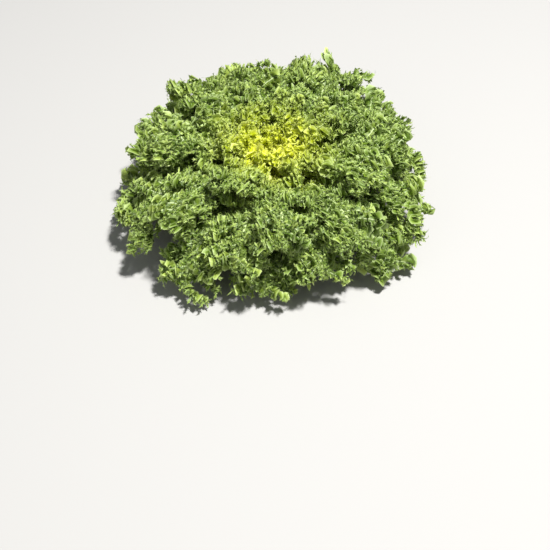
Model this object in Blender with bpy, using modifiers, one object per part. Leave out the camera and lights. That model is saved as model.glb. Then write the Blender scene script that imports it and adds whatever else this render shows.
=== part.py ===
# Curly endive head, cut at the stump and standing on its cut face.
# Units are metres and degrees, +Z is up, and the origin is the middle of the cut face.
# The leaves stand round the stump in a golden-angle spiral, outermost first. Each one lies on its own
# bowl-shaped shell. The shells nest, because a leaf further in leaves the stump more steeply and bends
# over less, so the frilled leaves fill the head without crossing.
# A leaf's depth in the head is 0 for the outermost and 1 for the innermost.

import math
import random

import bmesh
import bpy

# Whole head
OUTER_COUNT = 16
MIDDLE_COUNT = 15
HEART_COUNT = 15
LEAF_COUNT = OUTER_COUNT + MIDDLE_COUNT + HEART_COUNT
GOLDEN_ANGLE = 137.508
FIRST_AZIMUTH = 266.5
AZIMUTH_JITTER = 3.0
SEED = 24760

# Stump: cut face, widest ring and tip, and the stretch of it that the leaves grow from
CUT_FACE_RADIUS = 0.0165
SHOULDER_RADIUS = 0.0190
SHOULDER_HEIGHT = 0.0080
TIP_RADIUS = 0.0040
STUMP_HEIGHT = 0.0440
STUMP_CROWN = 0.0012
STUMP_SIDES = 32
ROOTS_START = 0.0090
ROOTS_END = 0.0420
ROOT_GAP = 0.0022

# Ribs: the lean where a leaf leaves the stump, its length, and how it bends over along its length
OUTER_LEAN = 49.0
HEART_LEAN = 92.0
LEAN_POWER = 1.10
OUTER_LENGTH = 0.211
MIDDLE_LENGTH = 0.203
MIDDLE_DEPTH = 0.5
HEART_LENGTH = 0.041
LENGTH_POWER = 0.68
LENGTH_JITTER = 0.075
OUTER_BEND = 118.0
HEART_BEND = 88.0
BEND_LENGTH = 0.200
BEND_POWER = 1.5
PATH_STEPS = 80
OUTER_RIB_WIDTH = 0.0095
HEART_RIB_WIDTH = 0.0040
RIB_TIP_WIDTH = 0.0030
RIB_TAPER = 0.6
OUTER_RIB_THICKNESS = 0.0024
HEART_RIB_THICKNESS = 0.0013
BLADE_THICKNESS = 0.0009

# Blade outline: how far the lobes reach from the rib along the leaf, and the sector they stay in
OUTER_HALF_WIDTH = 0.040
HEART_HALF_WIDTH = 0.012
NARROWER_FROM_DEPTH = 0.35
NARROW_UNTIL = 0.2
WIDEST_AT = 0.7
TAPER_FROM = 0.78
START_WIDTH = 0.42
END_WIDTH = 0.72
WIDEST_ANGLE = 27.0

# Lobes: their number on each side, where they start and end along the rib, and how they grow from it
OUTER_LOBES = 8
HEART_LOBES = 4
FEWER_FROM_DEPTH = 0.25
FIRST_LOBE = 0.27
LAST_LOBE = 0.94
LOBE_STEM = 0.0055
STEM_LIMIT = 0.55
LOBE_SWEEP = 0.55
LOBE_SHORTEST = 0.75
LOBE_LEAST_HALF = 0.0016

# The two steps out along a lobe: share of its reach, half width as a share of its reach, rise and twist
# as shares of the frill, and how far its forward corner is set back
LOBE_STEPS = {
    2: {"out": 0.52, "half": 0.25, "rise": 0.75, "twist": 0.26, "back": 0.0},
    3: {"out": 1.00, "half": 0.30, "rise": 0.42, "twist": -0.16, "back": 0.16},
}

# Arrow-shaped lobe at the leaf's tip
ARROW_START = 0.965
ARROW_HALF_WIDTH = 0.0055
POINT_HALF_WIDTH = 0.0006

# Frill: how far the lobes rise and fall from their leaf's shell, for each metre of rib below them, and the
# share by which it grows on the leaves that make the top of the dome
FRILL_START = 0.018
FRILL_RATE = 0.065
TOP_FRILL = 0.35
TOP_FROM_DEPTHS = (0.42, 0.60)
TOP_UNTIL_DEPTHS = (0.68, 0.85)

# Colours, and the depths between which green turns to gold
LEAF_GREEN = (0.13, 0.27, 0.05, 1.0)
LEAF_GOLD = (0.62, 0.66, 0.12, 1.0)
STUMP_CREAM = (0.72, 0.70, 0.50, 1.0)
GREEN_UNTIL = 0.45
GOLD_FROM = 0.95
LEAF_ROUGHNESS = 0.5
STUMP_ROUGHNESS = 0.6


def clear_scene():
    for obj in list(bpy.data.objects):
        bpy.data.objects.remove(obj)


def make_material(name, colour, roughness):
    material = bpy.data.materials.new(name)
    material.use_nodes = True
    shader = material.node_tree.nodes["Principled BSDF"]
    shader.inputs["Base Color"].default_value = colour
    shader.inputs["Roughness"].default_value = roughness
    shader.inputs["Metallic"].default_value = 0.0
    return material


def mix(a, b, share):
    return a + (b - a) * share


def ease(start, end, value):
    """0 before start, 1 after end, and a smooth rise between."""
    share = min(1.0, max(0.0, (value - start) / (end - start)))
    return share * share * (3.0 - 2.0 * share)


def stump_radius(height):
    """The stump's outer radius: it swells to its shoulder, then narrows to its tip."""
    if height < SHOULDER_HEIGHT:
        swell = math.sin(math.pi / 2 * height / SHOULDER_HEIGHT)
        return mix(CUT_FACE_RADIUS, SHOULDER_RADIUS, swell)
    share = (height - SHOULDER_HEIGHT) / (STUMP_HEIGHT - SHOULDER_HEIGHT)
    return mix(SHOULDER_RADIUS, TIP_RADIUS, share)


def make_stump(collection):
    """A profile that runs down the outer side, from the axis back to the axis, turned once round."""
    outline = [(0.0, STUMP_HEIGHT + STUMP_CROWN)]
    for height in (STUMP_HEIGHT, SHOULDER_HEIGHT, SHOULDER_HEIGHT / 2, 0.0):
        outline.append((stump_radius(height), height))
    outline.append((0.0, 0.0))
    mesh = bpy.data.meshes.new("stump")
    corners = [(radius, 0.0, height) for radius, height in outline]
    mesh.from_pydata(corners, [(n, n + 1) for n in range(len(corners) - 1)], [])
    mesh.materials.append(make_material("stump_cream", STUMP_CREAM, STUMP_ROUGHNESS))
    stump = bpy.data.objects.new("stump", mesh)
    collection.objects.link(stump)
    turn = stump.modifiers.new("turn", "SCREW")
    turn.steps = STUMP_SIDES
    turn.render_steps = STUMP_SIDES
    turn.use_merge_vertices = True
    turn.merge_threshold = 0.0001
    turn.use_smooth_shade = False
    return stump


class Leaf:
    """One leaf's own sizes, worked out from its depth in the head and a few small random draws."""

    def __init__(self, index, draw):
        self.depth = index / (LEAF_COUNT - 1)
        jitter = draw.uniform(-AZIMUTH_JITTER, AZIMUTH_JITTER)
        self.azimuth = math.radians(FIRST_AZIMUTH + GOLDEN_ANGLE * index + jitter)
        self.lean = mix(OUTER_LEAN, HEART_LEAN, self.depth**LEAN_POWER)
        self.bend = mix(OUTER_BEND, HEART_BEND, self.depth)
        self.length = self.plain_length() * draw.uniform(1.0 - LENGTH_JITTER, 1.0 + LENGTH_JITTER)
        narrowing = ease(NARROWER_FROM_DEPTH, 1.0, self.depth)
        self.half_width = mix(OUTER_HALF_WIDTH, HEART_HALF_WIDTH, narrowing)
        at_top = ease(*TOP_FROM_DEPTHS, self.depth) * (1.0 - ease(*TOP_UNTIL_DEPTHS, self.depth))
        self.frill_rate = FRILL_RATE * (1.0 + TOP_FRILL * at_top)
        self.rib_width = mix(OUTER_RIB_WIDTH, HEART_RIB_WIDTH, self.depth)
        self.rib_thickness = mix(OUTER_RIB_THICKNESS, HEART_RIB_THICKNESS, self.depth)
        self.lobes = round(mix(OUTER_LOBES, HEART_LOBES, ease(FEWER_FROM_DEPTH, 1.0, self.depth)))
        self.reaches = {}
        for side in (-1, 1):
            self.reaches[side] = [draw.uniform(LOBE_SHORTEST, 1.0) for _ in range(self.lobes)]
        self.path = self.walk_rib()

    def plain_length(self):
        if self.depth < MIDDLE_DEPTH:
            return mix(OUTER_LENGTH, MIDDLE_LENGTH, self.depth / MIDDLE_DEPTH)
        inward = (self.depth - MIDDLE_DEPTH) / (1.0 - MIDDLE_DEPTH)
        return mix(MIDDLE_LENGTH, HEART_LENGTH, inward**LENGTH_POWER)

    def walk_rib(self):
        """Points (radius, height, lean) along the rib, from the stump's side to the leaf's tip."""
        slope = math.atan2(STUMP_HEIGHT - SHOULDER_HEIGHT, SHOULDER_RADIUS - TIP_RADIUS)
        root = mix(ROOTS_START, ROOTS_END, self.depth)
        radius = stump_radius(root) + ROOT_GAP * math.sin(slope)
        height = root + ROOT_GAP * math.cos(slope)
        pace = self.length / PATH_STEPS
        points = []
        for step in range(PATH_STEPS + 1):
            lean = math.radians(self.lean - self.bend * (step * pace / BEND_LENGTH) ** BEND_POWER)
            points.append((radius, height, lean))
            radius += math.cos(lean) * pace
            height += math.sin(lean) * pace
        return points

    def rib_point(self, along):
        """(radius, height, lean) at a distance along the rib, carried straight on past its tip."""
        steps = along / self.length * PATH_STEPS
        low = min(PATH_STEPS - 1, int(steps))
        return tuple(mix(a, b, steps - low) for a, b in zip(self.path[low], self.path[low + 1]))

    def place(self, along, across, rise):
        """World point for a distance along the rib, across the blade and off the leaf's shell."""
        radius, height, lean = self.rib_point(along)
        radius -= rise * math.sin(lean)
        height += rise * math.cos(lean)
        turn = self.azimuth + across / radius
        return radius * math.cos(turn), radius * math.sin(turn), height

    def lobe_reach(self, along):
        """How far a lobe may reach from the rib's middle, never out of the leaf's own sector."""
        share = along / self.length
        width = mix(START_WIDTH, 1.0, ease(NARROW_UNTIL, WIDEST_AT, share))
        width *= mix(1.0, END_WIDTH, ease(TAPER_FROM, 1.0, share))
        sector = self.rib_point(along)[0] * math.radians(WIDEST_ANGLE)
        return min(self.half_width * width, sector)


def rib_rows(leaf):
    """Distances along the rib of the rows: two for the stalk, two for each lobe, two at the tip."""
    first, last = FIRST_LOBE * leaf.length, LAST_LOBE * leaf.length
    pitch = (last - first) / leaf.lobes
    stem = min(LOBE_STEM, STEM_LIMIT * pitch)
    rows = [0.0, first / 2]
    for lobe in range(leaf.lobes):
        middle = first + (lobe + 0.5) * pitch
        rows += [middle - stem / 2, middle + stem / 2]
    return rows + [ARROW_START * leaf.length, leaf.length]


def rib_edge(leaf, rows, row):
    """Half the rib's width at a row. The last two rows are the lobe at the leaf's tip."""
    if row == len(rows) - 1:
        return POINT_HALF_WIDTH
    if row == len(rows) - 2:
        return min(ARROW_HALF_WIDTH, leaf.half_width / 3)
    return mix(leaf.rib_width, RIB_TIP_WIDTH, (rows[row] / leaf.length) ** RIB_TAPER) / 2


def leaf_vertex(leaf, rows, row, column):
    """Place of one grid vertex. Columns run -3 to 3 without 0: 1 is the rib's edge, 3 a lobe's end."""
    side, step = (1 if column > 0 else -1), abs(column)
    edge = rib_edge(leaf, rows, row)
    if step == 1:
        return leaf.place(rows[row], side * edge, 0.0)
    lobe, forward = divmod(row - 2, 2)
    middle = (rows[row - forward] + rows[row - forward + 1]) / 2
    reach = leaf.lobe_reach(middle) * leaf.reaches[side][lobe] - edge
    shape = LOBE_STEPS[step]
    swing = 1 if forward else -1
    half = shape["half"] * reach + LOBE_LEAST_HALF
    along = middle + LOBE_SWEEP * reach * shape["out"] + swing * half
    across = edge + reach * (shape["out"] - shape["back"] * forward)
    fold = 1 if (lobe + (side > 0)) % 2 else -1
    frill = leaf.frill_rate * max(0.0, middle + LOBE_SWEEP * reach - FRILL_START)
    rise = frill * fold * (shape["rise"] + shape["twist"] * side * swing)
    return leaf.place(along, side * across, rise)


def cut_lobes(sheet, place, lobes):
    """Leaves only the rib between one lobe and the next, and beyond the first and last."""
    gaps = []
    for face in sheet.faces:
        row = min(place[vertex][0] for vertex in face.verts)
        beside_rib = max(abs(place[vertex][1]) for vertex in face.verts) > 1
        lobed = 2 <= row < 2 + 2 * lobes and row % 2 == 0
        if beside_rib and not lobed:
            gaps.append(face)
    bmesh.ops.delete(sheet, geom=gaps, context="FACES")


def make_leaf(leaf, name, collection):
    """A grid with two cells on each side of the rib, cut into lobes, laid on its shell and thickened."""
    rows = rib_rows(leaf)
    cells_along, cells_across = len(rows) - 1, 5
    sheet = bmesh.new()
    bmesh.ops.create_grid(sheet, x_segments=cells_across, y_segments=cells_along, size=0.5)
    place = {}
    for vertex in sheet.verts:
        column = round((vertex.co.x + 0.5) * cells_across) - 2
        row = round((vertex.co.y + 0.5) * cells_along)
        place[vertex] = (row, column if column > 0 else column - 1)
    cut_lobes(sheet, place, leaf.lobes)
    for vertex in sheet.verts:
        vertex.co = leaf_vertex(leaf, rows, *place[vertex])
    bmesh.ops.triangulate(sheet, faces=sheet.faces, quad_method="SHORT_EDGE")
    sheet.verts.index_update()
    rib = [vertex.index for vertex in sheet.verts if abs(place[vertex][1]) == 1]
    mesh = bpy.data.meshes.new(name)
    sheet.to_mesh(mesh)
    sheet.free()
    mesh.materials.append(make_material(name + "_blade", leaf_colour(leaf.depth), LEAF_ROUGHNESS))
    obj = bpy.data.objects.new(name, mesh)
    collection.objects.link(obj)
    obj.vertex_groups.new(name="rib").add(rib, 1.0, "REPLACE")
    thick = obj.modifiers.new("thickness", "SOLIDIFY")
    thick.thickness = leaf.rib_thickness
    thick.offset = 0.0
    thick.vertex_group = "rib"
    thick.thickness_vertex_group = BLADE_THICKNESS / leaf.rib_thickness
    thick.use_quality_normals = True
    return obj


def leaf_name(index):
    if index < OUTER_COUNT:
        return f"outer_leaf_{index + 1:02d}"
    if index < OUTER_COUNT + MIDDLE_COUNT:
        return f"middle_leaf_{index - OUTER_COUNT + 1:02d}"
    return f"heart_leaf_{index - OUTER_COUNT - MIDDLE_COUNT + 1:02d}"


def leaf_colour(depth):
    gold = ease(GREEN_UNTIL, GOLD_FROM, depth)
    return tuple(mix(a, b, gold) for a, b in zip(LEAF_GREEN, LEAF_GOLD))


def main():
    clear_scene()
    collection = bpy.data.collections.new("curly_endive_head")
    bpy.context.scene.collection.children.link(collection)
    make_stump(collection)
    draw = random.Random(SEED)
    for index in range(LEAF_COUNT):
        make_leaf(Leaf(index, draw), leaf_name(index), collection)


main()
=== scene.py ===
# Curly endive head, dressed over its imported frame. Everything is in metres, +Z up.
# A leaf's depth in the head is 0 for the outermost and 1 for the innermost.
import math
import random

import bmesh
import bpy
import numpy as np
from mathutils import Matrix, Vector


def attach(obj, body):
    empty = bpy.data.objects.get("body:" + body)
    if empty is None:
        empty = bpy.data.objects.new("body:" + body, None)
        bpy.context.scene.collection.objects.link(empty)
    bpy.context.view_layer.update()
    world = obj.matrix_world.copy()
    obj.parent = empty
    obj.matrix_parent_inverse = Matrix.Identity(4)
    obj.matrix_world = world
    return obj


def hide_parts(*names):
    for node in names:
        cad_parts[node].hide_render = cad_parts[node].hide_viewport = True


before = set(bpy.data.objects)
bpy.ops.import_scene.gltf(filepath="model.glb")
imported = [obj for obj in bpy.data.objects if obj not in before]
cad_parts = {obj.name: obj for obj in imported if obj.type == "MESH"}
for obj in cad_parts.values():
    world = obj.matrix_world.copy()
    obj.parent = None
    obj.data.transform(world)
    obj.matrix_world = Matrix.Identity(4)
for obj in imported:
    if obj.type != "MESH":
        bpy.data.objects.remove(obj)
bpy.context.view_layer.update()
print("frame loaded:", len(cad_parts), "nodes")

head = {
    "outerLeaves": 16,
    "middleLeaves": 15,
    "heartLeaves": 15,
    "goldenAngle": 137.508,  # degrees between one leaf and the next
    "firstAzimuth": 266.5,
    "azimuthJitter": 3.0,
    "seed": 24760,
    "rootsStart": 0.0090,  # heights on the stump of the first and last leaf's root
    "rootsEnd": 0.0420,
    "rootSink": 0.0035,  # how far a rib runs on into the stump
}
leafCount = head["outerLeaves"] + head["middleLeaves"] + head["heartLeaves"]


def mix(a, b, share):
    return a + (b - a) * share


def ease(start, end, value):  # 0 up to start, 1 past end, smooth between; start can be the higher one
    share = np.clip((value - start) / (end - start), 0.0, 1.0)
    return share * share * (3.0 - 2.0 * share)


# Stump

stump = {
    "cutRadius": 0.0165,
    "shoulderRadius": 0.0190,
    "shoulderHeight": 0.0080,
    "tipRadius": 0.0040,
    "height": 0.0440,
    "rootGap": 0.0022,  # from the stump's side to the middle of a rib, as in the frame
}


def stumpRadius(height):
    if height < stump["shoulderHeight"]:
        swell = math.sin(math.pi / 2 * height / stump["shoulderHeight"])
        return mix(stump["cutRadius"], stump["shoulderRadius"], swell)
    share = (height - stump["shoulderHeight"]) / (stump["height"] - stump["shoulderHeight"])
    return mix(stump["shoulderRadius"], stump["tipRadius"], share)


# Leaves: each one keeps the rib, lobes and frill of its node in the frame

ribs = {
    "outerLean": 49.0,  # degrees above the floor where a leaf leaves the stump
    "heartLean": 92.0,
    "leanPower": 1.10,
    "outerLength": 0.211,
    "middleLength": 0.203,
    "middleDepth": 0.5,
    "heartLength": 0.041,
    "lengthPower": 0.68,
    "lengthJitter": 0.075,
    "outerBend": 118.0,  # degrees that a leaf bends over in its first bendLength
    "heartBend": 88.0,
    "bendLength": 0.200,
    "bendPower": 1.5,
    "steps": 80,
    "outerWidth": 0.0095,
    "heartWidth": 0.0040,
    "tipWidth": 0.0022,
    "taper": 0.6,
    "outerThickness": 0.0030,
    "heartThickness": 0.0015,
}

blades = {
    "outerHalfWidth": 0.040,
    "heartHalfWidth": 0.012,
    "narrowerFromDepth": 0.35,
    "narrowUntil": 0.2,
    "widestAt": 0.7,
    "taperFrom": 0.78,
    "startWidth": 0.42,
    "endWidth": 0.72,
    "widestAngle": 27.0,
    "outerLobes": 8,
    "heartLobes": 4,
    "fewerFromDepth": 0.25,
    "firstLobe": 0.27,
    "lastLobe": 0.94,
    "sweep": 0.55,
    "shortest": 0.75,
    "frillStart": 0.018,
    "frillRate": 0.065,
}


class EndiveLeaf:
    def __init__(self, index, draw):
        self.depth = index / (leafCount - 1)
        jitter = draw.uniform(-head["azimuthJitter"], head["azimuthJitter"])
        self.azimuth = math.radians(head["firstAzimuth"] + head["goldenAngle"] * index + jitter)
        self.lean = mix(ribs["outerLean"], ribs["heartLean"], self.depth ** ribs["leanPower"])
        self.bend = mix(ribs["outerBend"], ribs["heartBend"], self.depth)
        stretch = draw.uniform(1.0 - ribs["lengthJitter"], 1.0 + ribs["lengthJitter"])
        self.length = self.plainLength() * stretch
        narrowing = float(ease(blades["narrowerFromDepth"], 1.0, self.depth))
        self.halfWidth = mix(blades["outerHalfWidth"], blades["heartHalfWidth"], narrowing)
        self.ribWidth = mix(ribs["outerWidth"], ribs["heartWidth"], self.depth)
        self.ribThickness = mix(ribs["outerThickness"], ribs["heartThickness"], self.depth)
        fewer = float(ease(blades["fewerFromDepth"], 1.0, self.depth))
        self.lobes = round(mix(blades["outerLobes"], blades["heartLobes"], fewer))
        self.reaches = {}
        for side in (-1, 1):
            self.reaches[side] = [draw.uniform(blades["shortest"], 1.0) for _ in range(self.lobes)]
        self.path = self.walkRib()
        self.rng = np.random.default_rng(head["seed"] + index)

    def plainLength(self):
        if self.depth < ribs["middleDepth"]:
            return mix(ribs["outerLength"], ribs["middleLength"], self.depth / ribs["middleDepth"])
        inward = (self.depth - ribs["middleDepth"]) / (1.0 - ribs["middleDepth"])
        return mix(ribs["middleLength"], ribs["heartLength"], inward ** ribs["lengthPower"])

    def walkRib(self):  # radius, height and lean along the rib
        rise = stump["height"] - stump["shoulderHeight"]
        slope = math.atan2(rise, stump["shoulderRadius"] - stump["tipRadius"])
        root = mix(head["rootsStart"], head["rootsEnd"], self.depth)
        radius = stumpRadius(root) + stump["rootGap"] * math.sin(slope)
        height = root + stump["rootGap"] * math.cos(slope)
        pace = self.length / ribs["steps"]
        points = []
        for step in range(ribs["steps"] + 1):
            bend = self.bend * (step * pace / ribs["bendLength"]) ** ribs["bendPower"]
            lean = math.radians(self.lean - bend)
            points.append((radius, height, lean))
            radius += math.cos(lean) * pace
            height += math.sin(lean) * pace
        return np.array(points)

    def ribPoint(self, along):
        steps = np.asarray(along, float) / self.length * ribs["steps"]
        low = np.clip(steps.astype(int), 0, ribs["steps"] - 1)
        near, far = self.path[low], self.path[low + 1]
        return near + (far - near) * (steps - low)[..., None]

    def bladePoint(self, along, across, rise):
        radius, height, lean = np.moveaxis(self.ribPoint(along), -1, 0)
        radius = radius - rise * np.sin(lean)
        height = height + rise * np.cos(lean)
        turn = self.azimuth + across / radius
        return np.stack([radius * np.cos(turn), radius * np.sin(turn), height], -1)

    def bladeFrame(self, along, across):  # unit vectors: towards the tip, sideways and off the blade
        radius, _, lean = np.moveaxis(self.ribPoint(along), -1, 0)
        turn = self.azimuth + across / radius
        outward = np.stack([np.cos(turn), np.sin(turn), np.zeros_like(turn)], -1)
        sideways = np.stack([-np.sin(turn), np.cos(turn), np.zeros_like(turn)], -1)
        upward = np.array([0.0, 0.0, 1.0])
        cosLean, sinLean = np.cos(lean)[..., None], np.sin(lean)[..., None]
        return outward * cosLean + upward * sinLean, sideways, upward * cosLean - outward * sinLean

    def ribEdge(self, along):
        share = np.clip(np.asarray(along, float) / self.length, 0.0, 1.0)
        return mix(self.ribWidth, ribs["tipWidth"], share ** ribs["taper"]) / 2

    def lobeReach(self, along):
        share = along / self.length
        width = mix(blades["startWidth"], 1.0, ease(blades["narrowUntil"], blades["widestAt"], share))
        width = width * mix(1.0, blades["endWidth"], ease(blades["taperFrom"], 1.0, share))
        sector = self.ribPoint(along)[..., 0] * math.radians(blades["widestAngle"])
        return np.minimum(self.halfWidth * width, sector)


# Lobules: the small curled, toothed ribbons that make the frizz

lobule = {
    # share of the length, width as a share of the widest, how far the edges are pushed forward
    "rows": [
        (0.00, 0.55, 0.0), (0.08, 0.60, 0.0), (0.17, 1.85, 0.90), (0.24, 0.62, 0.0), (0.33, 0.66, 0.0),
        (0.42, 1.90, 0.95), (0.49, 0.58, 0.0), (0.58, 0.60, 0.0), (0.66, 1.60, 0.90), (0.73, 0.50, 0.0),
        (0.82, 0.62, 0.20), (0.91, 0.36, 0.0), (1.00, 0.04, 0.0),
    ],
    "cup": 0.45,  # how far the edges stand off the middle, as a share of the half width
    "toothDraw": (0.55, 1.45),  # size of each tooth, and how far it stands off
    "toothLift": 0.45,
    "curlAtFoot": 0.6,  # a lobule curls less at its foot than at its point
    "curlGain": 0.8,
}


def turned(vector, axis, angle):
    cosTurn, sinTurn = np.cos(angle)[:, None], np.sin(angle)[:, None]
    along = (vector * axis).sum(-1, keepdims=True)
    return vector * cosTurn + np.cross(axis, vector) * sinTurn + axis * along * (1.0 - cosTurn)


def unit(vector):
    return vector / np.linalg.norm(vector, axis=-1, keepdims=True)


def growLobules(grown, rng):
    rows = lobule["rows"]
    count = len(grown["length"])
    centre = grown["start"].copy()
    direction = unit(grown["direction"])
    normal = unit(grown["normal"] - direction * (grown["normal"] * direction).sum(-1, keepdims=True))
    teeth = rng.uniform(*lobule["toothDraw"], (count, len(rows), 2))
    lifts = rng.normal(0.0, lobule["toothLift"], (count, len(rows), 2))
    points = np.empty((count, len(rows), 3, 3))
    before = 0.0
    for row, (share, width, forward) in enumerate(rows):
        pace = share - before
        before = share
        if pace > 0:
            wide = np.cross(normal, direction)
            turnBy = pace * (lobule["curlAtFoot"] + lobule["curlGain"] * share)
            direction = turned(direction, wide, -grown["bend"] * turnBy)
            normal = turned(normal, wide, -grown["bend"] * turnBy)
            direction = turned(direction, normal, grown["veer"] * turnBy)
            normal = turned(normal, direction, grown["twist"] * turnBy)
            centre = centre + direction * (pace * grown["length"])[:, None]
        wide = np.cross(normal, direction)
        points[:, row, 1] = centre
        for column, side in ((0, -1), (2, 1)):
            half = grown["halfWidth"] * width * (teeth[:, row, column // 2] if forward else 1.0)
            lift = lobule["cup"] * grown["cupping"] + (lifts[:, row, column // 2] if forward else 0.0)
            off = wide * (side * half)[:, None] + normal * (half * lift)[:, None]
            points[:, row, column] = centre + off + direction * (forward * half)[:, None]
    return points


# Frizz: where the lobules grow, and how they curl

frizz = {
    "spacing": 0.0028,  # along a lobe's stem
    "plainSpacing": 1.9,  # times further apart on broad, plain lobes
    "heartSpacing": (1.7, 3.0),  # times further apart in the heart: on lobes and over the rib
    "heartScale": 0.66,  # size of the innermost lobules
    "stemLength": 1.15,  # a lobe's length as a share of its reach, because it is swept forward
    "stemEnd": 0.86,  # share of a lobe's reach where its stem ends
    "angle": (30.0, 95.0),  # degrees from the stem
    "rootLength": 0.0045,
    "reachLength": (0.30, 0.0020),  # length further out: share of the lobe's reach, and metres more
    "lengthFactor": (0.85, 1.40),
    "leastLength": 0.0090,
    "mostLength": 0.0185,
    "halfWidth": (0.0007, 0.0014),
    "bend": (1.0, 4.8),  # radians of curl along a lobule
    "rootBend": 0.45,  # share of that curl at a lobe's root
    "downShare": 0.35,  # share of lobules that curl under
    "downBend": -0.75,
    "lift": (-0.45, 0.95),  # how far a lobule starts off its blade
    "tilt": 0.25,
    "veer": 1.1,  # radians that a lobule turns aside, and round itself, at most
    "twist": 1.8,
    "cupping": (-0.4, 1.3),
    "leafTone": 0.3,  # how far the lobules of a leaf share one tone
    "tuftSpacing": 0.0095,  # lobules stand in tufts, with gaps between them
    "tuftLength": (0.50, 1.25),
    "tuftRaise": 0.9,
}


def inHeart(leaf):
    return float(ease(0.6, 0.9, leaf.depth))


def spaced(count, rng):  # a share in each of count equal steps from 0 to 1
    return (np.arange(count) + rng.uniform(0.1, 0.9, count)) / count


class LobuleBed:
    def __init__(self, leaf):
        self.leaf = leaf
        self.parts = []
        self.scale = mix(1.0, frizz["heartScale"], float(ease(0.5, 1.0, leaf.depth)))
        self.tone = leaf.rng.random()

    def add(self, start, direction, normal, length, outward, raised=0.0):
        rng, count = self.leaf.rng, len(length)
        down = rng.random(count) < frizz["downShare"]
        curl = rng.uniform(*frizz["bend"], count) * np.where(down, frizz["downBend"], 1.0)
        self.parts.append({
            "start": start,
            "direction": direction + normal * (rng.uniform(*frizz["lift"], count) + raised)[:, None],
            "normal": normal + rng.normal(0.0, frizz["tilt"], (count, 3)),
            "length": length,
            "halfWidth": rng.uniform(*frizz["halfWidth"], count) * self.scale,
            "bend": curl * mix(frizz["rootBend"], 1.0, outward),
            "veer": rng.uniform(-frizz["veer"], frizz["veer"], count),
            "twist": rng.uniform(-frizz["twist"], frizz["twist"], count),
            "cupping": rng.uniform(*frizz["cupping"], count),
            "tone": mix(rng.random(count), self.tone, frizz["leafTone"]),
        })

    def joined(self):
        return {key: np.concatenate([part[key] for part in self.parts]) for key in self.parts[0]}


# Lobes: the stems that the frizz grows on

stems = {
    "between": (0.60, 0.95),  # reach of the lobes between the frame's lobes
    "betweenPlace": (0.4, 0.6),
    "wider": (1.20, 1.08),  # the frizz reaches further than the frame's lobes: outer and heart leaves
    "stray": 0.16,  # how far a lobe strays from its course, as a share of its reach
    "sweepDraw": (0.75, 1.35),  # times the frame's sweep
    "roll": (0.5, 1.3),  # radians that a lobe is rolled at its root and along its reach
    "arch": (2.55, 2.13),  # how its frill rises, and falls again towards its end
    "plainShare": (0.10, 0.24, 0.35),  # broad, plain lobes: of all, more at outer leaves' ends, in the heart
}


class Lobe:
    # a lobe's stem: where it starts on the rib, its side, its reach and which way it folds
    def __init__(self, leaf, middle, side, share, fold):
        self.leaf, self.middle, self.side = leaf, middle, side
        self.edge = float(leaf.ribEdge(middle))
        wider = mix(*stems["wider"], float(ease(0.2, 0.6, leaf.depth)))
        self.reach = float(leaf.lobeReach(middle)) * share * wider - self.edge
        highest = max(0.0, middle + blades["sweep"] * self.reach - blades["frillStart"])
        self.frill = blades["frillRate"] * fold * highest
        rng = leaf.rng
        self.stray = rng.uniform(-1.0, 1.0, 2) * stems["stray"] * self.reach
        self.roll = rng.uniform(-1.0, 1.0, 2) * stems["roll"]
        self.sweep = blades["sweep"] * rng.uniform(*stems["sweepDraw"])
        everywhere, atEnds, deepInside = stems["plainShare"]
        nearEnd = float(ease(0.6, 0.8, middle / leaf.length) * ease(0.5, 0.3, leaf.depth))
        inside = float(ease(0.65, 0.85, leaf.depth))
        self.plain = rng.random() < everywhere + atEnds * nearEnd + deepInside * inside

    def course(self, share):  # points along the stem, and its unit vectors: on, sideways and off
        leaf = self.leaf
        rising, falling = stems["arch"]
        along = self.middle + self.sweep * self.reach * share + self.stray[0] * share**2
        across = self.side * (self.edge + self.reach * share)
        rise = self.frill * (rising * share - falling * share**2) + self.stray[1] * share**2
        forward, sideways, off = leaf.bladeFrame(along, across)
        onward = (self.sweep * self.reach + 2 * self.stray[0] * share)[:, None]
        outward = self.side * self.reach
        upward = (self.frill * (rising - 2 * falling * share) + 2 * self.stray[1] * share)[:, None]
        direction = unit(forward * onward + sideways * outward + off * upward)
        wide = unit(np.cross(off, direction))
        roll = self.roll[0] + self.roll[1] * share
        wide = turned(wide, direction, roll)
        return leaf.bladePoint(along, across, rise), direction, wide, np.cross(direction, wide)


def leafLobes(leaf):
    # the frame's own lobes, and a shorter one after each that folds the other way
    first, last = blades["firstLobe"] * leaf.length, blades["lastLobe"] * leaf.length
    pitch = (last - first) / leaf.lobes
    lobes = []
    for number in range(leaf.lobes):
        middle = first + (number + 0.5) * pitch
        for side in (-1, 1):
            fold = 1 if (number + (side > 0)) % 2 else -1
            lobes.append(Lobe(leaf, middle, side, leaf.reaches[side][number], fold))
            share = leaf.rng.uniform(*stems["between"])
            between = middle + pitch * leaf.rng.uniform(*stems["betweenPlace"])
            lobes.append(Lobe(leaf, between, side, share, -fold))
    return lobes


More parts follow.
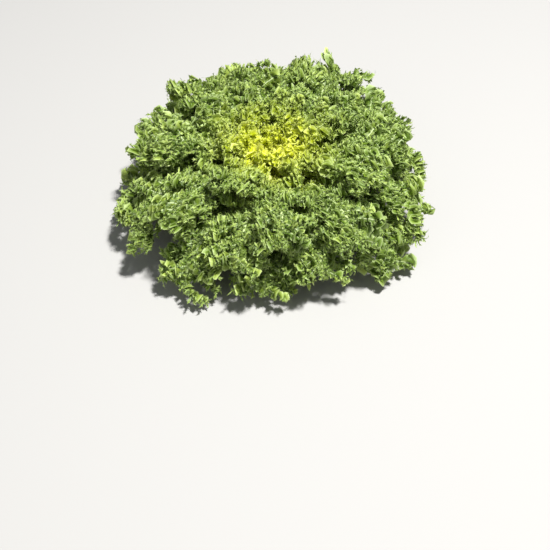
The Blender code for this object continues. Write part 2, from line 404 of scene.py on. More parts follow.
def growLobe(lobe, bed):
    rng, reach = lobe.leaf.rng, lobe.reach
    spacing = frizz["spacing"] * (frizz["plainSpacing"] if lobe.plain else 1.0)
    spacing = spacing * mix(1.0, frizz["heartSpacing"][0], inHeart(lobe.leaf))
    count = max(3, int(frizz["stemLength"] * reach * frizz["stemEnd"] / spacing))
    gaps = math.pi * reach / (frizz["tuftSpacing"] * bed.scale)
    furtherOut = frizz["reachLength"][0] * reach + frizz["reachLength"][1]
    for flank in (-1, 1):
        share = spaced(count, rng) * frizz["stemEnd"]
        start, direction, wide, normal = lobe.course(share)
        tuft = np.sin(share * gaps + rng.uniform(0, math.pi)) ** 2
        tuftLength = mix(*frizz["tuftLength"], tuft)
        length = mix(frizz["rootLength"], furtherOut, ease(0.0, 0.6, share)) * tuftLength
        angle = np.radians(rng.uniform(*frizz["angle"], count))[:, None]
        grow = direction * np.cos(angle) + wide * flank * np.sin(angle)
        length = length * rng.uniform(*frizz["lengthFactor"], count)
        length = np.clip(length, frizz["leastLength"] * tuftLength, frizz["mostLength"]) * bed.scale
        bed.add(start, grow, normal, length, ease(0.0, 0.5, share), frizz["tuftRaise"] * (tuft - 0.5))


# Fans of lobules at the ends of lobes and leaves

fans = {
    "lobeCount": 7,
    "lobeSpread": 75.0,  # degrees to either side
    "lobeDepth": 0.12,  # how far they start before the stem's end, as a share of the lobe's reach
    "lobeLength": (0.28, 0.0030),  # share of the lobe's reach, and metres more
    "lobeFactor": (0.8, 1.25),
    "leafCount": 15,
    "leafSpread": 80.0,
    "leafStart": 0.985,  # share of the leaf's length
    "leafLength": (0.007, 0.011),
    "jitter": 8.0,  # degrees
}


def fanAngles(spreadAngle, count, rng):
    jitter = rng.uniform(-fans["jitter"], fans["jitter"], count)
    return np.radians(np.linspace(-spreadAngle, spreadAngle, count) + jitter)[:, None]


def growLobeFan(lobe, bed):
    rng, count = lobe.leaf.rng, fans["lobeCount"]
    share = rng.uniform(frizz["stemEnd"] - fans["lobeDepth"], frizz["stemEnd"], count)
    start, direction, wide, normal = lobe.course(share)
    angle = fanAngles(fans["lobeSpread"], count, rng)
    length = fans["lobeLength"][0] * lobe.reach + fans["lobeLength"][1]
    length = length * rng.uniform(*fans["lobeFactor"], count)
    length = np.clip(length, frizz["leastLength"], frizz["mostLength"]) * bed.scale
    bed.add(start, direction * np.cos(angle) + wide * np.sin(angle), normal, length, np.ones(count))


def growLeafFan(leaf, bed):
    count = fans["leafCount"]
    along, across = np.full(count, fans["leafStart"] * leaf.length), np.zeros(count)
    forward, sideways, off = leaf.bladeFrame(along, across)
    angle = fanAngles(fans["leafSpread"], count, leaf.rng)
    grow = forward * np.cos(angle) + sideways * np.sin(angle)
    length = leaf.rng.uniform(*fans["leafLength"], count) * bed.scale
    bed.add(leaf.bladePoint(along, across, across), grow, off, length, np.ones(count))


# Wings and crests: lobules along the rib's edges, and others that fold up and over it

wings = {
    "spacing": 0.0028,
    "countShare": 0.93,  # share of the leaf's length that they are counted for
    "span": (0.05, 0.97),
    "onWeb": 0.8,  # towards the tip they stand on the web, this share of its width out
    "angle": (25.0, 75.0),
    "length": (0.0045, 0.0085),
    "growth": (0.55, 1.25),  # times as long near the foot and further on
    "curlShare": 0.8,
}

crests = {
    "spacing": 0.0026,
    "start": 0.34,  # share of the leaf's length where they start, and share that they stand on
    "share": 0.62,
    "lean": (-0.9, 0.5),  # over the rib or away from it
    "forward": (0.1, 0.9),
    "up": 0.9,
    "length": (0.0070, 0.0120),
    "curlShare": 0.8,
}


def growWings(leaf, bed):
    rng = leaf.rng
    count = int(wings["countShare"] * leaf.length / wings["spacing"])
    for side in (-1, 1):
        along = leaf.length * mix(*wings["span"], spaced(count, rng))
        onWeb = wings["onWeb"] * ease(0.60, 0.75, along / leaf.length)
        across = side * (leaf.ribEdge(along) + webWidth(leaf, along) * onWeb)
        forward, sideways, off = leaf.bladeFrame(along, across)
        angle = np.radians(rng.uniform(*wings["angle"], count))[:, None]
        grow = forward * np.cos(angle) + sideways * side * np.sin(angle)
        grown = ease(0.1, 0.45, along / leaf.length)
        length = rng.uniform(*wings["length"], count) * mix(*wings["growth"], grown) * bed.scale
        bed.add(leaf.bladePoint(along, across, 0.0 * along), grow, off, length, grown * wings["curlShare"])


def growCrests(leaf, bed):
    rng = leaf.rng
    spacing = crests["spacing"] * mix(1.0, frizz["heartSpacing"][1], inHeart(leaf))
    count = int(crests["share"] * leaf.length / spacing)
    for side in (-1, 1):
        along = leaf.length * (crests["start"] + crests["share"] * spaced(count, rng))
        across = side * leaf.ribEdge(along)
        forward, sideways, off = leaf.bladeFrame(along, across)
        lean = side * rng.uniform(*crests["lean"], count)[:, None]
        onward = rng.uniform(*crests["forward"], count)[:, None]
        grow = forward * onward + sideways * lean + off * crests["up"]
        length = rng.uniform(*crests["length"], count) * bed.scale
        curled = np.full(count, crests["curlShare"])
        bed.add(leaf.bladePoint(along, across, 0.0 * along), grow, sideways * side, length, curled)


# Ruffles: the blade's continuous margin, gathered into folds along both flanks of a lobe

ruffle = {
    "rowPace": 0.00060,  # from one row of points to the next
    "columns": (0.0, 0.28, 0.54, 0.78, 1.0),
    "width": (0.0040, 0.0074),  # at the lobe's root and where it is widest
    "foldPitch": 0.0074,
    "pitchDraw": (0.85, 1.2),
    "folds": (1.10, 0.42),  # radians that the margin swings to either side: main and smaller folds
    "finer": 1.7,  # smaller folds for each main one
    "wander": 0.25,  # how unevenly the folds follow each other
    "curl": (0.35, 1.9),  # the margin rolls over further towards its edge
    "gather": 0.55,  # how far folds lean along the lobe, as a share of the width
    "gatherOut": 1.4,
    "onward": 0.25,  # how far the whole margin leans on towards the lobe's end
    "teeth": 0.42,  # depth, as a share of the outermost column's width
    "heartFolds": 0.62,  # share of the folds that the heart leaves have
    "heartWidth": 1.25,
    "plainWidth": 1.30,
    "plainFolds": 0.70,
}


def ruffleWidths(lobe, bed, share, phase):
    width = mix(*ruffle["width"], np.sin(np.clip(share, 0, 1) * 2.6 + 0.25)) * bed.scale
    width = width * mix(1.0, ruffle["heartWidth"], inHeart(lobe.leaf))
    width = width * (ruffle["plainWidth"] if lobe.plain else 1.0)
    width = width * (1.0 + 0.25 * np.sin(phase * 0.5 + 1.0))
    return width * mix(0.06, 1.0, ease(-0.02, 0.14, share) * ease(1.0, 0.78, share))


def lobeRuffles(lobe, bed):
    rng, length = lobe.leaf.rng, frizz["stemLength"] * lobe.reach
    rows = max(8, int(length / (ruffle["rowPace"] * bed.scale)))
    share = np.linspace(-0.02, 1.0, rows)
    centre, direction, wide, normal = lobe.course(share)
    calmer = mix(1.0, ruffle["heartFolds"], inHeart(lobe.leaf))
    calmer = calmer * (ruffle["plainFolds"] if lobe.plain else 1.0)
    grids = []
    for flank in (-1, 1):
        folds = length / (ruffle["foldPitch"] * bed.scale) * rng.uniform(*ruffle["pitchDraw"])
        uneven = ruffle["wander"] * np.sin(share * rng.uniform(6, 11))
        phase = 2 * math.pi * (share * folds + uneven + rng.random())
        finer = 2 * math.pi * (share * folds * ruffle["finer"] + rng.random())
        swing = (ruffle["folds"][0] * np.sin(phase) + ruffle["folds"][1] * np.sin(finer)) * calmer
        width = ruffleWidths(lobe, bed, share, phase)
        everyOther = np.where(np.arange(rows) % 2 == 0, 1.9, 0.2)
        tooth = 1.0 + ruffle["teeth"] * (rng.random(rows) * everyOther - 0.3)
        gather = ruffle["gather"] * np.cos(phase)
        points = np.empty((rows, len(ruffle["columns"]), 3))
        place, before = centre.copy(), 0.0
        for column, out in enumerate(ruffle["columns"]):
            angle = (swing * (ruffle["curl"][0] + ruffle["curl"][1] * out))[:, None]
            onward = (gather * out * ruffle["gatherOut"] + ruffle["onward"])[:, None]
            step = wide * flank * np.cos(angle) + normal * np.sin(angle) + direction * onward
            reach = width * (out - before) * (tooth if out == 1.0 else 1.0)
            place = place + step * reach[:, None]
            points[:, column] = place
            before = out
        grids.append(points[:, ::flank])
    return grids


# Membranes: the plain blade along each lobe's stem, and the webs of blade beside the rib

membrane = {
    "rows": 12,
    "columns": (-1.0, -0.22, 0.0, 0.22, 1.0),
    "vein": (0.1, 0.45, 1.2, 0.45, 0.1),  # how pale each column is
    "inner": 0.8,  # how much painted shade, as the plain blade lies under the frizz
    "halfWidth": 0.0034,
    "widthDraw": (0.6, 1.35),
    "heartWidth": 1.35,  # times wider in the heart
    "wave": (0.0011, 19.0),  # height, and radians from root to end
    "notch": (0.30, 41.0),  # share of the width, and radians
    "stemRaise": 0.0004,
}

web = {
    "rows": 60,
    "columns": (0.0, 0.35, 0.7, 1.0),
    "widths": (0.0030, 0.0046, 0.0068),  # at the leaf's foot, middle and end
    "heartWidth": 1.25,
    "ragged": ((0.36, 61.0), (0.28, 143.0)),  # share of the width, and radians from foot to tip
    "waves": ((1.0, 47.0), (0.6, 113.0)),
    "waveHeight": 0.0022,
    # painted shade on the webs beside the rib
    "inner": 0.48,
}


def lobeMembrane(lobe):
    rows, rng = membrane["rows"], lobe.leaf.rng
    share = np.linspace(-0.04, frizz["stemEnd"] + 0.04, rows)
    centre, direction, wide, normal = lobe.course(share)
    phase = rng.uniform(0, 2 * math.pi, 2)
    half = membrane["halfWidth"] * (1.0 - 0.6 * ease(0.4, 1.0, share)) * rng.uniform(*membrane["widthDraw"])
    half = half * mix(1.0, membrane["heartWidth"], inHeart(lobe.leaf))
    points = np.empty((rows, len(membrane["columns"]), 3))
    for column, out in enumerate(membrane["columns"]):
        flank = 0 if out < 0 else 1
        waveHeight, waveTurns = membrane["wave"]
        wave = waveHeight * abs(out) * np.sin(share * waveTurns + phase[flank])
        notchDepth, notchTurns = membrane["notch"]
        notch = 1.0 + notchDepth * np.sin(share * notchTurns + phase[1 - flank]) * (abs(out) > 0.5)
        raised = membrane["stemRaise"] if out == 0.0 else 0.0
        points[:, column] = centre + wide * (out * half * notch)[:, None] + normal * (wave + raised)[:, None]
    return points


def webWidth(leaf, along):
    share = along / leaf.length
    start, middle, end = web["widths"]
    width = mix(mix(start, middle, ease(0.15, 0.5, share)), end, ease(0.62, 0.85, share))
    return width * mix(1.0, web["heartWidth"], inHeart(leaf))


def summedWaves(share, waves, phases):
    return sum(height * np.sin(share * turns + phase) for (height, turns), phase in zip(waves, phases))


def ribWeb(leaf, side):
    rows, rng = web["rows"], leaf.rng
    along = np.linspace(0.04, 0.99, rows) * leaf.length
    share = along / leaf.length
    phases = rng.uniform(0, 2 * math.pi, 4)
    width = webWidth(leaf, along) * (1.0 + summedWaves(share, web["ragged"], phases[:2]))
    wave = summedWaves(share, web["waves"], phases[2:])
    points = np.empty((rows, len(web["columns"]), 3))
    for column, out in enumerate(web["columns"]):
        across = side * (leaf.ribEdge(along) * 0.8 + width * out)
        rise = web["waveHeight"] * out**1.5 * wave * ease(0.05, 0.4, share)
        points[:, column] = leaf.bladePoint(along, across, rise)
    return points[:, ::side]


# Ribs: closed strips, flat with a shallow channel above and rounded below

ribStrip = {
    "rows": 40,
    # shares of the half width and of the thickness, once round
    "section": [
        (-1.0, 0.10), (-0.55, 0.42), (0.0, 0.18), (0.55, 0.42), (1.0, 0.10), (0.62, -0.42), (0.0, -0.62),
        (-0.62, -0.42), (-1.0, 0.10),
    ],
    "tipThickness": 0.35,
    "vein": (1.4, 0.75),  # how pale at the foot and at the tip
    "tone": 0.8,
}


def ribTube(leaf):
    rows, section = ribStrip["rows"], ribStrip["section"]
    along = np.linspace(-head["rootSink"], leaf.length * 0.99, rows)
    half = leaf.ribEdge(along)
    thinner = mix(1.0, ribStrip["tipThickness"], np.clip(along / leaf.length, 0, 1))
    thick = leaf.ribThickness * thinner
    points = np.empty((rows, len(section), 3))
    for column, (out, off) in enumerate(section):
        points[:, column] = leaf.bladePoint(along, out * half, off * thick)
    return points


# Meshes from grids of points

outline = {
    # azimuth and half width in degrees, metres that leaf ends are pushed out and raised, degrees turned
    "lumps": [
        (213.0, 24.0, 0.016, 0.000, 0.0), (204.0, 15.0, 0.000, 0.000, 9.0), (240.0, 9.0, 0.006, 0.000, 0.0),
        (327.0, 22.0, 0.016, 0.000, 0.0), (332.0, 20.0, 0.000, 0.000, -2.2),
        (66.0, 12.0, 0.012, 0.012, 5.0), (108.0, 8.0, 0.008, 0.010, 0.0), (145.0, 10.0, 0.008, 0.010, 0.0),
        (42.0, 8.0, 0.006, 0.004, 0.0), (56.0, 5.0, -0.010, -0.006, 0.0), (95.0, 9.0, -0.020, -0.012, 0.0),
        (124.0, 6.0, -0.014, -0.008, 0.0),
    ],
    "from": 0.120,  # distances from the middle where a lump starts and is full
    "full": 0.185,
    "floorEase": 0.006,  # below this height leaves flatten out on the floor
}


def settled(points):
    # the head's outline is lumpy, and leaves that meet the floor lie down on it
    distance = np.hypot(points[:, 0], points[:, 1])
    turn = np.arctan2(points[:, 1], points[:, 0])
    share = ease(outline["from"], outline["full"], distance)
    pushed, raised, swung = distance.copy(), np.zeros(len(points)), turn.copy()
    for azimuth, width, push, lift, swing in outline["lumps"]:
        away = np.angle(np.exp(1j * (turn - math.radians(azimuth)))) / math.radians(width)
        here = np.exp(-(away**2)) * share
        pushed += push * here
        raised += lift * here
        swung += math.radians(swing) * here
    points[:, 0], points[:, 1] = pushed * np.cos(swung), pushed * np.sin(swung)
    points[:, 2] += raised * ease(0.0, 0.05, points[:, 2])
    low = outline["floorEase"]
    points[:, 2] = np.where(points[:, 2] < low, low * np.exp(points[:, 2] / low - 1.0), points[:, 2])
    return points


class GridMesh:
    def __init__(self):
        self.points, self.faces, self.vein, self.tone, self.inner, self.uvs = [], [], [], [], [], []
        self.count = 0

    def add(self, grids, vein, tone, inner, cells):
        # grids is pieces x rows x columns x 3; the pale of veins and painted highlights, the tone and the
        # painted shade match it without the last
        pieces, rows, columns = grids.shape[:3]
        numbers = self.count + np.arange(pieces * rows * columns).reshape(pieces, rows, columns)
        here, after = numbers[:, :-1], numbers[:, 1:]
        quads = np.stack([here[..., :-1], here[..., 1:], after[..., 1:], after[..., :-1]], -1)
        self.faces.append(quads.reshape(-1, 4))
        self.points.append(grids.reshape(-1, 3))
        for painted, values in ((self.vein, vein), (self.tone, tone), (self.inner, inner)):
            painted.append(np.broadcast_to(values, (pieces, rows, columns)).reshape(-1))
        u, v = np.meshgrid(np.linspace(0.06, 0.94, columns), np.linspace(0.04, 0.96, rows))
        low, size = cells[:, 0:2], cells[:, 2:4]
        place = low[:, None, None] + size[:, None, None] * np.stack([u, v], -1)[None]
        self.uvs.append(place.reshape(-1, 2))
        self.count += pieces * rows * columns

    def build(self, name, material):
        points, faces = settled(np.concatenate(self.points)), np.concatenate(self.faces)
        mesh = bpy.data.meshes.new(name)
        mesh.vertices.add(len(points))
        mesh.vertices.foreach_set("co", points.astype(np.float32).ravel())
        mesh.loops.add(faces.size)
        mesh.loops.foreach_set("vertex_index", faces.astype(np.int32).ravel())
        mesh.polygons.add(len(faces))
        mesh.polygons.foreach_set("loop_start", np.arange(0, faces.size, 4, dtype=np.int32))
        mesh.update(calc_edges=True)
        mesh.polygons.foreach_set("use_smooth", np.ones(len(faces), bool))
        distance = np.hypot(points[:, 0], points[:, 1] - leafLook["goldMiddle"])
        gold = mix(ease(*leafLook["goldOuter"], distance), ease(*leafLook["goldInner"], distance), 0.5)
        painted = {"gold": [gold], "vein": self.vein, "tone": self.tone, "inner": self.inner}
        for key, values in painted.items():
            values = np.concatenate(values).astype(np.float32)
            mesh.attributes.new(key, "FLOAT", "POINT").data.foreach_set("value", values)
        layer = mesh.uv_layers.new(name="OFBake")
        layer.data.foreach_set("uv", np.concatenate(self.uvs)[faces.ravel()].astype(np.float32).ravel())
        mesh.materials.append(material)
        piece = bpy.data.objects.new(name, mesh)
        bpy.context.scene.collection.objects.link(piece)
        return piece


# Leaf pieces

# each sort of grid has its own part of the square map, between two heights
mapPlaces = {
    "lobules": (0.0, 0.56),
    "ruffles": (0.56, 0.76),
    "membranes": (0.76, 0.88),
    "webs": (0.88, 0.94),
    "rib": (0.94, 1.0),
}


def gridCells(count, sort):
    # equal cells in that part of the map, filled row by row
    low, high = mapPlaces[sort]
    across = math.ceil(math.sqrt(count / (high - low)))
    down = math.ceil(count / across)
    number = np.arange(count)
    wide, tall = 1.0 / across, (high - low) / down
    left, bottom = number % across * wide, low + number // across * tall
    return np.stack([left, bottom, np.full(count, wide), np.full(count, tall)], -1)


def growFrizz(leaf, lobes, bed):
    for lobe in lobes:
        growLobe(lobe, bed)
        growLobeFan(lobe, bed)
    growWings(leaf, bed)
    growCrests(leaf, bed)
    growLeafFan(leaf, bed)
    return bed.joined()


def addLobules(made, grown, rng):
    # their edges are pale as a painted highlight, their points are pale, and their feet are darkened with
    # painted shade
    points = growLobules(grown, rng)
    reached = np.array([row[0] for row in lobule["rows"]])
    tip = np.clip(reached * 1.25 - 0.25, 0.0, 1.0)
    # painted highlight: the pale edge columns stand in for light catching the rims
    edge = np.ones(len(tip))
    vein = 0.75 * np.stack([edge, 0.4 * tip, edge], -1)[None]
    inner = (1.0 - ease(0.0, 0.6, reached))[None, :, None]
    made.add(points, vein, grown["tone"][:, None, None], inner, gridCells(len(points), "lobules"))


def addRuffles(made, lobes, bed):
    # they are of several lengths, so each one is its own grid
    cells = gridCells(2 * len(lobes), "ruffles")
    for number, lobe in enumerate(lobes):
        for half, grid in enumerate(lobeRuffles(lobe, bed)):
            out = np.array(ruffle["columns"])[None, None, :: 1 if half else -1]
            tone = bed.leaf.rng.random()
            # the outer edge of a ruffle is pale as a painted highlight, and its foot by the stem is darkened
            # with painted shade
            made.add(grid[None], 0.80 * out**3, tone, 1.0 - out, cells[2 * number + half][None])


def leafPiece(leaf, name, material):
    bed = LobuleBed(leaf)
    lobes = leafLobes(leaf)
    made = GridMesh()
    addLobules(made, growFrizz(leaf, lobes, bed), leaf.rng)
    addRuffles(made, lobes, bed)
    sheets = np.array([lobeMembrane(lobe) for lobe in lobes])
    vein = np.array(membrane["vein"])[None, None, :]
    tone = leaf.rng.random(len(sheets))[:, None, None]
    made.add(sheets, vein, tone, membrane["inner"], gridCells(len(sheets), "membranes"))
    webs = np.array([ribWeb(leaf, side) for side in (-1, 1)])
    made.add(webs, 0.0, leaf.rng.random(2)[:, None, None], web["inner"], gridCells(2, "webs"))
    vein = mix(*ribStrip["vein"], np.linspace(0, 1, ribStrip["rows"]))[None, :, None]
    made.add(ribTube(leaf)[None], vein, ribStrip["tone"], 0.0, gridCells(1, "rib"))
    return made.build(name, material)


# Materials

leafLook = {
    "green": (0.248, 0.378, 0.028, 1.0),
    "greenDark": (0.084, 0.168, 0.012, 1.0),
    "greenPale": (0.560, 0.690, 0.120, 1.0),
    "greenPaintedShade": (0.035, 0.090, 0.007, 1.0),  # painted shade, towards the foot of a lobule and under the frizz
    "gold": (0.785, 0.820, 0.014, 1.0),
    "goldPale": (0.830, 0.825, 0.100, 1.0),
    # painted shade in the heart, kept close to the plain gold
    "goldPaintedShade": (0.790, 0.865, 0.009, 1.0),
    "innerShare": 0.80,  # how much of the painted shade colour the feet take
    "goldMiddle": -0.018,  # the yellow lies a little in front of the head's middle
    "goldOuter": (0.104, 0.034),  # distances from there where gold starts and is full
    "goldInner": (0.062, 0.014),
    # pale colours of ribs and veins, also used as the painted highlight on lobule and ruffle edges
    "rib": (0.690, 0.800, 0.400, 1.0),
    "ribAndHighlightGold": (0.810, 0.815, 0.300, 1.0),
    "veinPower": 2.2,  # how narrow the pale veins, and the painted highlights on edges, are
    "spots": (260.0, 3.0),  # scale and detail
    "dark": (0.10, 0.42),  # shades where dark green ends and where it is plain green
    "pale": (0.44, 0.80),  # shades where pale starts and is full
    "roughness": 0.38,
    "through": 0.24,  # share of light that passes a blade
    "grain": (900.0, 2.0),  # fine unevenness of the surface
    "bump": (0.35, 0.0006),  # strength and distance
}


def node(tree, kind, **values):
    made = tree.nodes.new(kind)
    for key, value in values.items():
        setattr(made, key, value)
    return made


def attribute(tree, name):
    made = node(tree, "ShaderNodeAttribute")
    made.attribute_name = name
    return made.outputs["Fac"]


def blend(tree, share, a, b):
    made = node(tree, "ShaderNodeMix", data_type="RGBA")
    tree.links.new(share, made.inputs[0])
    for number, value in ((6, a), (7, b)):
        if isinstance(value, tuple):
            made.inputs[number].default_value = value
        else:
            tree.links.new(value, made.inputs[number])
    return made.outputs[2]


def mathNode(tree, operation, a, b=0.0, clamp=False):
    made = node(tree, "ShaderNodeMath", operation=operation, use_clamp=clamp)
    for number, value in ((0, a), (1, b)):
        if isinstance(value, float):
            made.inputs[number].default_value = value
        else:
            tree.links.new(value, made.inputs[number])
    return made.outputs[0]


def noiseNode(tree, scale, detail, place=None):
    made = node(tree, "ShaderNodeTexNoise")
    made.inputs["Scale"].default_value = scale
    made.inputs["Detail"].default_value = detail
    if place:
        tree.links.new(place, made.inputs["Vector"])
    return made.outputs["Fac"]


def spread(tree, value, low, high):  # 0 at low, 1 at high
    made = node(tree, "ShaderNodeMapRange", interpolation_type="SMOOTHSTEP")
    made.inputs["From Min"].default_value = low
    made.inputs["From Max"].default_value = high
    tree.links.new(value, made.inputs["Value"])
    return made.outputs["Result"]


def addBump(tree, shader, height, strength, distance):
    made = node(tree, "ShaderNodeBump")
    made.inputs["Strength"].default_value = strength
    made.inputs["Distance"].default_value = distance
    tree.links.new(height, made.inputs["Height"])
    tree.links.new(made.outputs["Normal"], shader.inputs["Normal"])


def leafMaterial():
    material = bpy.data.materials.new("endiveLeaf")
    material.use_nodes = True
    tree = material.node_tree
    shader = tree.nodes["Principled BSDF"]
    output = tree.nodes["Material Output"]
    gold, vein, tone = attribute(tree, "gold"), attribute(tree, "vein"), attribute(tree, "tone")
    spots = noiseNode(tree, *leafLook["spots"])
    shade = mathNode(tree, "MULTIPLY", mathNode(tree, "ADD", tone, spots), 0.5)
    pale = spread(tree, shade, *leafLook["pale"])
    green = blend(tree, spread(tree, shade, *leafLook["dark"]), leafLook["greenDark"], leafLook["green"])
    green = blend(tree, pale, green, leafLook["greenPale"])
    yellow = blend(tree, pale, leafLook["gold"], leafLook["goldPale"])
    blade = blend(tree, gold, green, yellow)
    rib = blend(tree, gold, leafLook["rib"], leafLook["ribAndHighlightGold"])
    # painted shade: the feet of lobules and the blade under the frizz are darkened
    paintedShadeColour = blend(tree, gold, leafLook["greenPaintedShade"], leafLook["goldPaintedShade"])
    inner = mathNode(tree, "MULTIPLY", attribute(tree, "inner"), leafLook["innerShare"])
    blade = blend(tree, inner, blade, paintedShadeColour)
    # pale veins and ribs, and painted highlights on lobule and ruffle edges
    colour = blend(tree, mathNode(tree, "POWER", vein, leafLook["veinPower"], clamp=True), blade, rib)
    tree.links.new(colour, shader.inputs["Base Color"])
    shader.inputs["Roughness"].default_value = leafLook["roughness"]
    addBump(tree, shader, noiseNode(tree, *leafLook["grain"]), *leafLook["bump"])
    glow = node(tree, "ShaderNodeBsdfTranslucent")
    tree.links.new(colour, glow.inputs["Color"])
    both = node(tree, "ShaderNodeMixShader")
    both.inputs["Fac"].default_value = leafLook["through"]
    tree.links.new(shader.outputs["BSDF"], both.inputs[1])
    tree.links.new(glow.outputs["BSDF"], both.inputs[2])
    tree.links.new(both.outputs["Shader"], output.inputs["Surface"])
    return material


# Cut stump

stumpLook = {
    "sides": 96,
    "cutRings": 12,
    "sideRings": 30,
    "scarHeight": 0.0014,  # how far each leaf's foot stands out
    "scarSize": (0.30, 0.0036),  # radians round the stump and metres up it
    "scarsFrom": 0.0015,  # the stump's edge below this height is plain
    "topRise": 0.0012,
    "sharpAngle": 50.0,
    "roughness": 0.45,
    "bump": (0.5, 0.0005),
    "fibres": (900.0, 4.0),
    "fibreStretch": 0.12,
    "grain": (520.0, 5.0),  # of the cut face, and how far it roughens the rings there
    "grainShare": 0.35,
    "pithEnds": (0.35, 0.75),  # where pith ends and browning starts, as shares of the cut face's radius
    "browns": (0.98, 1.16),
    "skin": (0.720, 0.740, 0.480, 1.0),
    "skinPale": (0.860, 0.860, 0.680, 1.0),
    "cut": (0.800, 0.760, 0.560, 1.0),
    "pith": (0.900, 0.890, 0.760, 1.0),
    "browned": (0.420, 0.260, 0.110, 1.0),
}


def stumpPiece(leaves, material):
    # one profile ring by ring: out over the cut face, up the side and in over the top
    cutRings = stumpLook["cutRings"]
    flat = [(stump["cutRadius"] * ring / cutRings, 0.0) for ring in range(cutRings)]
    climb = np.linspace(0.0, stump["height"], stumpLook["sideRings"])
    top = (0.0, stump["height"] + stumpLook["topRise"])
    profile = flat + [(stumpRadius(height), height) for height in climb] + [top]
    turn = np.arange(stumpLook["sides"]) / stumpLook["sides"] * 2 * math.pi
    shape = bmesh.new()
    cutLayer = shape.verts.layers.float.new("cut")
    rings = []
    for radius, height in profile:
        scars = np.zeros(len(turn))
        for leaf in leaves:
            root = mix(head["rootsStart"], head["rootsEnd"], leaf.depth)
            aside = np.angle(np.exp(1j * (turn - leaf.azimuth))) / stumpLook["scarSize"][0]
            up = (height - root) / stumpLook["scarSize"][1]
            scars = np.maximum(scars, np.exp(-(aside**2) - up**2))
        onSide = 1.0 if height > stumpLook["scarsFrom"] else 0.0
        wide = radius + onSide * stumpLook["scarHeight"] * scars
        if radius == 0.0:
            rings.append([shape.verts.new((0.0, 0.0, height))] * len(turn))
        else:
            places = zip(wide * np.cos(turn), wide * np.sin(turn))
            rings.append([shape.verts.new((x, y, height)) for x, y in places])
        for vertex in rings[-1]:
            vertex[cutLayer] = radius / stump["cutRadius"] if height == 0.0 else -1.0
    for lower, upper in zip(rings, rings[1:]):
        for side in range(len(turn)):
            after = (side + 1) % len(turn)
            corners = [lower[side], lower[after], upper[after], upper[side]]
            shape.faces.new([corner for n, corner in enumerate(corners) if corner not in corners[:n]])
    mesh = bpy.data.meshes.new("cutStump")
    bmesh.ops.recalc_face_normals(shape, faces=shape.faces)
    shape.to_mesh(mesh)
    shape.free()
    mesh.shade_smooth()
    mesh.set_sharp_from_angle(angle=math.radians(stumpLook["sharpAngle"]))
    mesh.materials.append(material)
    piece = bpy.data.objects.new("cutStump", mesh)
    bpy.context.scene.collection.objects.link(piece)
    return piece


def stumpMaterial():
    material = bpy.data.materials.new("endiveStump")
    material.use_nodes = True
    tree = material.node_tree
    shader = tree.nodes["Principled BSDF"]
    shader.inputs["Roughness"].default_value = stumpLook["roughness"]
    place = node(tree, "ShaderNodeTexCoord").outputs["Object"]
    long = node(tree, "ShaderNodeMapping")
    long.inputs["Scale"].default_value = (1.0, 1.0, stumpLook["fibreStretch"])
    tree.links.new(place, long.inputs["Vector"])
    fibres = noiseNode(tree, *stumpLook["fibres"], long.outputs["Vector"])
    skin = blend(tree, fibres, stumpLook["skin"], stumpLook["skinPale"])
    cut = attribute(tree, "cut")
    grain = noiseNode(tree, *stumpLook["grain"], place)
    ragged = mathNode(tree, "MULTIPLY_ADD", grain, stumpLook["grainShare"])
    tree.links.new(cut, ragged.node.inputs[2])
    face = blend(tree, spread(tree, ragged, *stumpLook["pithEnds"]), stumpLook["pith"], stumpLook["cut"])
    face = blend(tree, spread(tree, ragged, *stumpLook["browns"]), face, stumpLook["browned"])
    isCut = mathNode(tree, "GREATER_THAN", cut, -0.02)
    tree.links.new(blend(tree, isCut, skin, face), shader.inputs["Base Color"])
    addBump(tree, shader, fibres, *stumpLook["bump"])
    return material


# Stump and leaves in place of the frame's nodes

def leafNode(index):
    if index < head["outerLeaves"]:
        return f"outer_leaf_{index + 1:02d}", "outer_leaf"
    index -= head["outerLeaves"]
    if index < head["middleLeaves"]:
        return f"middle_leaf_{index + 1:02d}", "middle_leaf"
    return f"heart_leaf_{index - head['middleLeaves'] + 1:02d}", "heart_leaf"


draw = random.Random(head["seed"])
leaves = [EndiveLeaf(index, draw) for index in range(leafCount)]
piece = stumpPiece(leaves, stumpMaterial())
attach(piece, "root")
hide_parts("stump")
print("stump made")

leafFinish = leafMaterial()
for index, leaf in enumerate(leaves):
    nodeName, slotName = leafNode(index)
    piece = leafPiece(leaf, nodeName.replace("leaf", "frizz"), leafFinish)
    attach(piece, "root")
    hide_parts(nodeName)
print("leaves grown:", leafCount, "with", sum(len(mesh.polygons) for mesh in bpy.data.meshes), "faces")


# Floor, light and camera

studio = {
    "floorSize": 12.0,
    "floorColour": (0.46, 0.45, 0.43, 1.0),
    "floorRoughness": 0.9,
    "worldColour": (0.86, 0.91, 1.00, 1.0),
    "worldStrength": 0.20,
    "keyPlace": (0.80, -0.38, 3.18),
    "keySize": 0.30,
    "keyPower": 205.0,
    "fillPlace": (-2.4, -3.0, 2.4),
    "fillSize": 2.8,
    "fillPower": 18.0,
    "aim": (0.0, 0.0, 0.06),
}


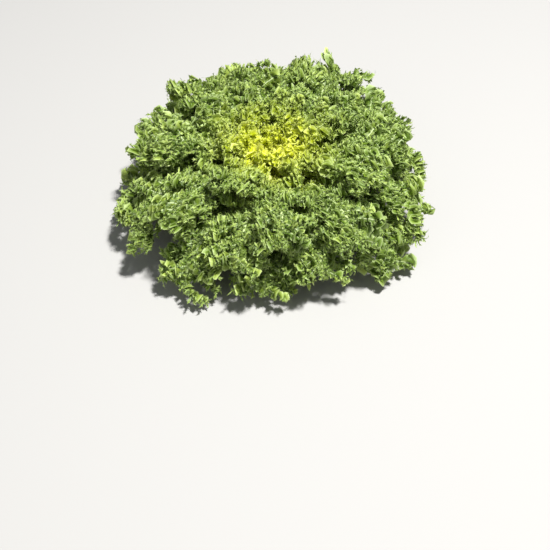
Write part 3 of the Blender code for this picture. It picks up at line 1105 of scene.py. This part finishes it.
def makeFloor():
    mesh = bpy.data.meshes.new("floor")
    half = studio["floorSize"] / 2
    corners = [(-half, -half, 0), (half, -half, 0), (half, half, 0), (-half, half, 0)]
    mesh.from_pydata(corners, [], [(0, 1, 2, 3)])
    material = bpy.data.materials.new("floorPaint")
    material.use_nodes = True
    shader = material.node_tree.nodes["Principled BSDF"]
    shader.inputs["Base Color"].default_value = studio["floorColour"]
    shader.inputs["Roughness"].default_value = studio["floorRoughness"]
    mesh.materials.append(material)
    floor = bpy.data.objects.new("floor", mesh)
    bpy.context.scene.collection.objects.link(floor)


def makeLamp(name, place, size, power):
    lamp = bpy.data.lights.new(name, "AREA")
    lamp.size = size
    lamp.energy = power
    piece = bpy.data.objects.new(name, lamp)
    piece.location = place
    towards = Vector(studio["aim"]) - Vector(place)
    piece.rotation_euler = towards.to_track_quat("-Z", "Y").to_euler()
    bpy.context.scene.collection.objects.link(piece)


def makeWorld():
    world = bpy.data.worlds.new("studio")
    world.use_nodes = True
    background = world.node_tree.nodes["Background"]
    background.inputs["Color"].default_value = studio["worldColour"]
    background.inputs["Strength"].default_value = studio["worldStrength"]
    bpy.context.scene.world = world
    bpy.context.scene.view_settings.view_transform = "Standard"


view = {
    "elevation": 42.0,  # degrees above the floor, seen from the head's middle
    "distance": 1.40,
    "lens": 70.2,
    "middle": (0.0, 0.0, 0.075),
    "picture": 550,  # points across and down
    "shown": (272.0, 162.0),  # where the picture shows the head's middle
}


def makeCamera():
    camera = bpy.data.cameras.new("camera")
    camera.lens = view["lens"]
    camera.sensor_width = 36.0
    camera.clip_start = 0.01
    piece = bpy.data.objects.new("camera", camera)
    rise = math.radians(view["elevation"])
    back = Vector((0.0, -math.cos(rise), math.sin(rise)))
    piece.location = Vector(view["middle"]) + back * view["distance"]
    pixels = camera.lens / camera.sensor_width * view["picture"]
    half = view["picture"] / 2
    pitch = rise + math.atan((half - view["shown"][1]) / pixels)
    turn = math.atan((view["shown"][0] - half) / pixels)
    piece.rotation_euler = (math.pi / 2 - pitch, 0.0, turn)
    bpy.context.scene.collection.objects.link(piece)
    bpy.context.scene.camera = piece


makeFloor()
makeLamp("keyLamp", studio["keyPlace"], studio["keySize"], studio["keyPower"])
makeLamp("fillLamp", studio["fillPlace"], studio["fillSize"], studio["fillPower"])
makeWorld()
makeCamera()
print("floor, light and camera set")
